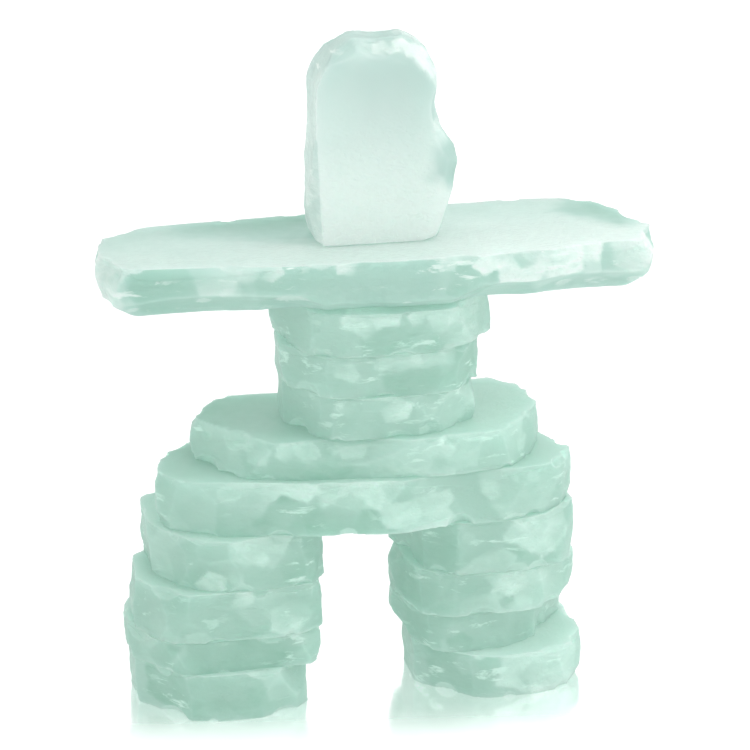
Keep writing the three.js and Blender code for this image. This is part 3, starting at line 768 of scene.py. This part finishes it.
def milky_glass(name, body, cloud, deep, frost=(0.64, 0.82, 0.75)):
    """The glass of one part of the figure: a Principled surface, part milk that scatters light inside the
    block and part see-through glass with a satin face, coloured by the skin group. A faint painted glow of
    its own colour stands in for the light that crosses the stack, and lifts the shade in its seams and
    hollows."""
    material = bpy.data.materials.new(name)
    material.use_nodes = True
    tree = material.node_tree
    shader = tree.nodes["Principled BSDF"]
    skin = new_node(tree, "ShaderNodeGroup", node_tree=SKIN)
    for tint, value in (("Body", body), ("Cloud", cloud), ("Deep", deep), ("Frost", frost)):
        skin.inputs[tint].default_value = (*value, 1)
    skin.inputs["Satin"].default_value = SATIN
    bump = new_node(tree, "ShaderNodeBump", Strength=0.7, Distance=0.0013)
    tree.links.new(skin.outputs["Color"], shader.inputs["Base Color"])
    # The skin's colour also feeds a faint glow: painted light that lifts the shade in the seams
    tree.links.new(skin.outputs["Color"], shader.inputs["Emission Color"])
    shader.inputs["Emission Strength"].default_value = PAINTED_GLOW
    tree.links.new(skin.outputs["Roughness"], shader.inputs["Roughness"])
    tree.links.new(skin.outputs["Height"], bump.inputs["Height"])
    tree.links.new(bump.outputs["Normal"], shader.inputs["Normal"])
    shader.inputs["IOR"].default_value = 1.5
    shader.inputs["Transmission Weight"].default_value = SEE_THROUGH
    shader.inputs["Subsurface Weight"].default_value = 1.0
    shader.inputs["Subsurface Radius"].default_value = (0.75, 1.0, 0.92)
    shader.inputs["Subsurface Scale"].default_value = MILK
    return material


# The legs' glass is a shade darker than the glass above them: painted shade, as less light reaches low down
LEG_GLASS = milky_glass("leg_glass", (0.34, 0.52, 0.45), (0.395, 0.565, 0.50), (0.235, 0.44, 0.35))

for seed, (node, blows) in enumerate(BLOCKS.items(), 100):
    surface, marks = knapped_slab(
        solid_triangles(node), slab_reach, blows,
        seed, bed_rows=HIDDEN_ROWS, chips=18, bed=BLOCK_BED_LIGHT,
    )
    block = grid_piece(node + "_glass", surface, marks)
    block.data.materials.append(LEG_GLASS)
    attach(block, "root")
    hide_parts(node)

# The hips
# One broad slab of the same glass laid across both legs, its front swelling towards the middle and
# flaked along its upper rim, where long shallow chips have left a pale band.
HIP_BLOWS = [
    (-1.3, 0.2, 34, 0.9, -20, 4, 0.3),
    (-0.8, -0.2, 34, 0.7, -14, -2, 0.0),
    (-0.45, -0.1, 34, 0.7, -4, 0, -0.3),
    (-0.5, 0.8, 34, 0.9, -6, 22, 1.6),
    (-0.14, 0.8, 34, 0.9, 2, 24, 1.6),
    (-0.68, -0.35, 22, 0.3, -6, -2, -0.4),
    (-0.44, -0.4, 24, 0.4, -4, -2, -0.8),
    (-0.2, -0.42, 24, 0.5, 2, -4, -1.0),
    (-0.02, -0.6, 16, 0.3, 4, -4, -0.9),
    (0.12, 0.1, 22, 0.8, 12, 12, 1.0),
    (0.12, 0.9, 16, 0.5, 8, -4, -0.3),
    (0.3, 0.3, 24, 0.5, 10, 6, 0.2),
    (0.26, -0.55, 24, 0.4, 6, 0, 1.1),
    (0.48, -0.3, 20, 0.4, 14, 0, 0.1),
    (0.75, 0.1, 30, 0.4, 16, 4, 0.5),
    (0.54, 0.3, 13, 0.4, 12, 20, 0.9),
    (0.68, 0.65, 7, 0.4, 20, 30, 0.9),
    (0.62, 0.8, 6, 0.4, 20, 30, 0.7),
    (0.8, 0.55, 6, 0.4, 20, 20, 0.7),
    (-0.72, 0.75, 7, 0.5, -16, 20, 1.0),
]
HIP_GLASS = milky_glass("hip_glass", (0.35, 0.53, 0.46), (0.40, 0.575, 0.51), (0.24, 0.445, 0.355))
# Its top is painted lighter towards the front right and darker at the back left, as painted shade where the
# waist shades it
surface, marks = knapped_slab(
    solid_triangles("hip_slab"), slab_reach, HIP_BLOWS,
    seed=200, bed_rows=26, chips=34, bed=(0.3, 0.5, -0.4, 0.1),
)
hips = grid_piece("hip_slab_glass", surface, marks)
hips.data.materials.append(HIP_GLASS)
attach(hips, "root")
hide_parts("hip_slab")

# The waist
# A smaller slab of the same glass, bedded on the hips, with a broad sloping face struck off its left
# end and a row of small chips along its lower front rim, right of the middle.
WAIST_BLOWS = [
    (-1.15, 0.3, 44, 1.2, -26, 20, 0.4),
    (-0.5, -0.2, 38, 0.7, -6, -4, -0.6),
    (0.1, 0.0, 24, 0.5, 6, 2, 0.5),
    (0.45, 0.2, 20, 0.5, 14, -2, 0.6),
    (0.8, 0.3, 30, 0.4, 18, 8, 0.55),
    (-0.2, 0.75, 11, 0.6, 6, 16, 0.8),
    (0.33, 0.6, 11, 0.7, 18, 10, 1.0),
    (-0.56, 0.65, 9, 0.4, 8, 20, 0.9),
    (-0.85, 0.5, 13, 0.6, -14, 14, 0.6),
    (0.0, -0.85, 11, 0.6, 0, -6, 0.8),
    (0.12, -0.9, 10, 0.6, 4, -8, 0.9),
    (0.24, -0.88, 10, 0.6, 8, -6, 0.9),
    (0.35, -0.9, 8, 0.5, 10, -8, 0.8),
    (1.05, -0.1, 9, 0.4, -10, 0, 0.9),
]
# Its top is painted darker at the back left, as painted shadow of the trunk, and lighter towards the right
surface, marks = knapped_slab(
    solid_triangles("waist_slab"), slab_reach, WAIST_BLOWS,
    seed=210, bed_rows=26, chips=28, bed=(0.0, 0.8, -0.7, 0.6),
)
waist = grid_piece("waist_slab_glass", surface, marks)
waist.data.materials.append(HIP_GLASS)
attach(waist, "root")
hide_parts("waist_slab")

# The trunk
# Three blocks like those of the legs, of nearly one width, stacked on the waist. Their upper rims catch the
# light as thin bright lines under the block above, painted pale on the rib and the chest as highlights.
TRUNK = {
    "belly_stone": [
        (-0.9, 0.0, 30, 0.7, -26, 2, 0.0),
        (-0.4, -0.3, 28, 0.5, -8, 0, -0.1),
        (0.1, -0.4, 24, 0.5, 4, -4, -0.2),
        (0.6, -0.1, 22, 0.6, 18, -4, -0.2),
        (0.04, 0.35, 12, 0.7, 4, 10, 1.3),
        (-0.48, 0.5, 9, 0.4, -8, 14, 0.5),
        (0.4, 0.1, 10, 0.5, 14, 4, 0.4),
        (1.1, 0.0, 22, 0.25, 0, 2, 0.8),
        (0.85, 0.85, 16, 0.5, 20, 20, 0.8),
        (0.4, -0.9, 5, 0.4, 10, 0, 1.0),
    ],
    "rib_stone": [
        (-0.9, 0.0, 30, 0.3, -16, 2, -0.2),
        (-0.4, 0.1, 30, 0.5, -8, 2, 0.1),
        (0.25, -0.1, 28, 0.5, 4, -3, -0.7),
        (0.8, -0.1, 26, 0.7, 22, -4, -0.75),
        (-0.42, 0.3, 10, 0.4, -6, 8, 1.0),
        (-0.08, 0.6, 7, 0.4, 0, 14, 0.8),
        # A shallow flake over the upper rim, painted pale: a painted highlight where the rim catches the
        # light under the chest
        (0.1, 0.97, 18, 0.3, 0, 30, 1.5),
        (0.6, 0.85, 16, 0.7, 18, 20, 0.9),
    ],
    "chest_stone": [
        (-1.0, 0.2, 32, 0.7, -28, 4, 0.1),
        (-0.5, 0.1, 30, 0.6, -12, -2, 0.15),
        (-0.1, 0.0, 26, 0.5, -4, -3, -0.4),
        (0.2, -0.4, 24, 0.5, 6, -6, -0.55),
        (0.72, 0.3, 32, 0.8, 20, 10, 1.3),
        (0.62, -0.2, 9, 0.5, 14, -4, -0.3),
        # A shallow flake over the upper rim, painted pale: painted light on the rim where the arms shade it
        (-0.3, 0.98, 20, 0.3, 0, 36, 1.4),
        (0.84, 0.45, 20, 0.4, 26, 10, 1.4),
        (1.35, 0.1, 26, 0.2, 0, 0, 0.9),
        (0.18, 0.7, 8, 0.6, 4, 10, 1.5),
        (-0.12, 0.85, 11, 0.5, -4, 14, 1.4),
        (0.42, -0.5, 9, 0.6, 24, 0, -0.6),
    ],
}
for seed, (node, blows) in enumerate(TRUNK.items(), 220):
    surface, marks = knapped_slab(
        solid_triangles(node), slab_reach, blows,
        seed, bed_rows=HIDDEN_ROWS, chips=16, bed=BLOCK_BED_LIGHT,
    )
    block = grid_piece(node + "_glass", surface, marks)
    block.data.materials.append(HIP_GLASS)
    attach(block, "root")
    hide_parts(node)

# The arms
# The longest slab, laid across the chest. Its top is a smooth split face, painted with light that is
# strongest towards its front and right, and painted darker in patches along its back, one of them the head's
# shadow. Its flank is undercut and flaked, with fresh pale chips on the right half of its rim.
ARM_BLOWS = [
    (-0.97, 0.3, 30, 0.8, -30, 6, 0.4),
    # These two wide, shallow flakes only paint the back of the top darker: the first, left of the head, is
    # the head's painted shadow
    (4.4, 1, 88, 0.1, 0, 75, -1.6),
    (2.4, 1, 54, 0.1, 0, 75, -1.0),
    (-1.5, 0, 40, 0.3, 0, 0, 1.2),
    (-0.7, 0.0, 44, 0.8, -4, -2, -0.8),
    (-0.3, 0.2, 36, 0.6, 2, -2, -0.4),
    (0.05, 0.2, 34, 0.6, 0, -2, -0.2),
    (0.3, 0.3, 26, 0.6, 6, -2, -0.7),
    (0.55, 0.5, 26, 0.8, 6, 6, 0.3),
    (0.85, 0.4, 30, 0.5, 10, 4, 0.2),
    (-0.62, 0.85, 22, 0.6, 0, 26, 0.5),
    (-0.5, 0.75, 12, 0.8, 6, 20, 0.6),
    (-0.41, 0.7, 8, 0.7, 10, 14, 1.0),
    (-0.56, 0.1, 9, 0.6, 0, 10, 0.8),
    (-0.15, 0.9, 8, 0.7, 20, 24, 1.0),
    (0.2, 0.85, 9, 0.7, 10, 20, 0.8),
    (0.36, 0.8, 13, 1, 10, 24, 1.5),
    (0.46, 0.45, 18, 0.9, 10, 14, 1.5),
    (0.5, 0.8, 10, 0.9, -8, 10, 0.2),
    (0.62, 0.6, 20, 0.9, 8, 18, 1.5),
    (0.72, 0.85, 16, 1, 12, 30, 1.5),
    (0.73, 0.1, 8, 0.6, 4, 6, 0.8),
    (0.83, 0.85, 8, 0.6, 10, 10, 0.2),
    (0.97, 0.5, 20, 0.5, 14, 10, 1.6),
]
# Its frost is whiter than the rest of the glass, so that the light painted on its top shows as a pale sheen
ARM_GLASS = milky_glass(
    "arm_glass", (0.355, 0.525, 0.47), (0.41, 0.565, 0.51), (0.25, 0.44, 0.365), frost=(0.79, 0.83, 0.81),
)
# Its top is painted with light, strongest at the front right, and across the front where the head shades it
surface, marks = knapped_slab(
    solid_triangles("arm_slab"), undercut_reach, ARM_BLOWS,
    seed=230, bed_rows=26, chips=44, bed=(0.85, 1.3, 0.2, 0.5),
)
arms = grid_piece("arm_slab_glass", surface, marks)
arms.data.materials.append(ARM_GLASS)
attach(arms, "root")
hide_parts("arm_slab")

# The head
# An upright slab stood on the arms, with flat split faces front and back, a narrow bruised face down
# its left side and small flakes struck off its front edge, over the top and down to its bulge.

# Its blows go round it as it stands: along its foot from -1 to 1, up its right side to 3, along its top
# to 5 and down its left side to 7. Its front edge is at level 1.
HEAD_BLOWS = [
    (5.6, 0, 40, 0.3, 0, 0, 0.9),
    (6.2, 0, 40, 0.3, 0, 0, 1.0),
    (6.8, 0, 34, 0.15, 0, 0, 1.2),
    (3.55, 0, 16, 0.1, 0, 0, 1.0),
    # A barely cut flake that paints the face under the bulge darker: painted shade, where it turns down and
    # away from the lamp
    (1.78, 1, 24, 0.02, 0, 60, -0.9),
    (5.0, 0.95, 14, 0.5, 0, 30, 0.1),
    (4.75, 0.95, 12, 0.5, 0, 34, 0.0),
    (4.45, 0.97, 16, 0.5, 8, 40, 0.2),
    (4.25, 0.99, 9, 0.4, 0, 44, 0.5),
    (4.08, 0.99, 8, 0.4, 0, 44, 1.2),
    (3.9, 0.99, 7, 0.4, 8, 40, 1.2),
    (3.72, 0.99, 8, 0.4, -8, 44, 1.5),
    (3.55, 0.99, 8, 0.4, -12, 36, 1.2),
    (3.35, 0.98, 9, 0.4, -20, 36, 1.4),
    (3.15, 0.97, 9, 0.4, -20, 36, 1.2),
    (2.98, 0.97, 10, 0.5, 0, 40, 1.5),
    (2.84, 0.97, 7, 0.4, 10, 40, 1.3),
    (2.7, 0.97, 9, 0.4, 0, 40, 1.2),
    (2.2, 0.99, 6, 0.3, 0, 40, 1.0),
]
HEAD_GLASS = milky_glass(
    "head_glass", (0.39, 0.52, 0.485), (0.44, 0.565, 0.53), (0.24, 0.40, 0.34), frost=(0.79, 0.84, 0.81),
)
upright = solid_triangles("head_stone")[..., [0, 2, 1]] * [1, 1, -1]
# Its front face is painted lighter towards its foot in its whiter frost: painted light against the shade
# there
surface, marks = knapped_slab(
    upright, cast_reach, HEAD_BLOWS,
    seed=240, bed_rows=30, chips=0, bed=(1.4, 1.4, 0.1, 0.0), facet_count=0, soften=0.5, swell=0.3,
)
head = grid_piece("head_stone_glass", surface[..., [0, 2, 1]] * [1, -1, 1], marks)
head.data.materials.append(HEAD_GLASS)
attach(head, "root")
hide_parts("head_stone")

# The table, light and camera
# A glossy white table under soft white light, its lamp above and to the right, and the camera a
# little above the figure and to its left.
ground = bpy.data.meshes.new("table_top")
SPAN = 6.0
corners = [(-SPAN, -SPAN, 0), (SPAN, -SPAN, 0), (SPAN, SPAN, 0), (-SPAN, SPAN, 0)]
ground.from_pydata(corners, [], [(0, 1, 2, 3)])
table_top = bpy.data.objects.new("table_top", ground)
bpy.context.scene.collection.objects.link(table_top)
white = bpy.data.materials.new("white_table")
white.use_nodes = True
paint = white.node_tree.nodes["Principled BSDF"]
paint.inputs["Base Color"].default_value = (0.98, 0.98, 0.98, 1)
paint.inputs["Roughness"].default_value = 0.14
paint.inputs["Emission Color"].default_value = (1, 1, 1, 1)
paint.inputs["Emission Strength"].default_value = 0.2
# The table mirrors what stands on it more and more towards the back, along a slightly slanted line
spot = new_node(white.node_tree, "ShaderNodeTexCoord").outputs["Object"]
slanted = new_node(white.node_tree, "ShaderNodeMapping")
slanted.inputs["Rotation"].default_value = (0, 0, 0.16)
apart = new_node(white.node_tree, "ShaderNodeSeparateXYZ")
polish = new_node(
    white.node_tree, "ShaderNodeMapRange", interpolation_type="SMOOTHSTEP",
    **{"From Min": -0.080, "From Max": -0.030, "To Max": 0.95},
)
white.node_tree.links.new(spot, slanted.inputs["Vector"])
white.node_tree.links.new(slanted.outputs["Vector"], apart.inputs["Vector"])
white.node_tree.links.new(apart.outputs["Y"], polish.inputs["Value"])
white.node_tree.links.new(polish.outputs["Result"], paint.inputs["Metallic"])
ground.materials.append(white)

world = bpy.data.worlds.new("white_room")
world.use_nodes = True
world.node_tree.nodes["Background"].inputs["Color"].default_value = (1, 1, 1, 1)
world.node_tree.nodes["Background"].inputs["Strength"].default_value = 1.0
bpy.context.scene.world = world


FIGURE_MIDDLE = Vector((0, 0, 0.14))


def soft_lamp(name, spot, size, power):
    """A square white lamp of that size, aimed at the middle of the figure."""
    lamp = bpy.data.lights.new(name, "AREA")
    lamp.size = size
    lamp.energy = power
    holder = bpy.data.objects.new(name, lamp)
    holder.location = spot
    holder.rotation_euler = (FIGURE_MIDDLE - Vector(spot)).to_track_quat("-Z", "Y").to_euler()
    bpy.context.scene.collection.objects.link(holder)


soft_lamp("key_lamp", (0.9, -0.5, 1.2), size=0.6, power=10)

# The point that the camera looks at and its distance from it, in metres
TARGET = Vector((0.00084, 0.00003, 0.134244))
DISTANCE = 1.23527
AZIMUTH, ELEVATION = math.radians(-12), math.radians(20)
back = Vector((
    math.sin(AZIMUTH) * math.cos(ELEVATION),
    -math.cos(AZIMUTH) * math.cos(ELEVATION),
    math.sin(ELEVATION),
))
lens = bpy.data.cameras.new("camera")
lens.lens = 144
lens.sensor_width = 36
camera = bpy.data.objects.new("camera", lens)
camera.location = TARGET + back * DISTANCE
camera.rotation_euler = (-back).to_track_quat("-Z", "Y").to_euler()
bpy.context.scene.collection.objects.link(camera)
bpy.context.scene.camera = camera
bpy.context.scene.view_settings.view_transform = "Standard"
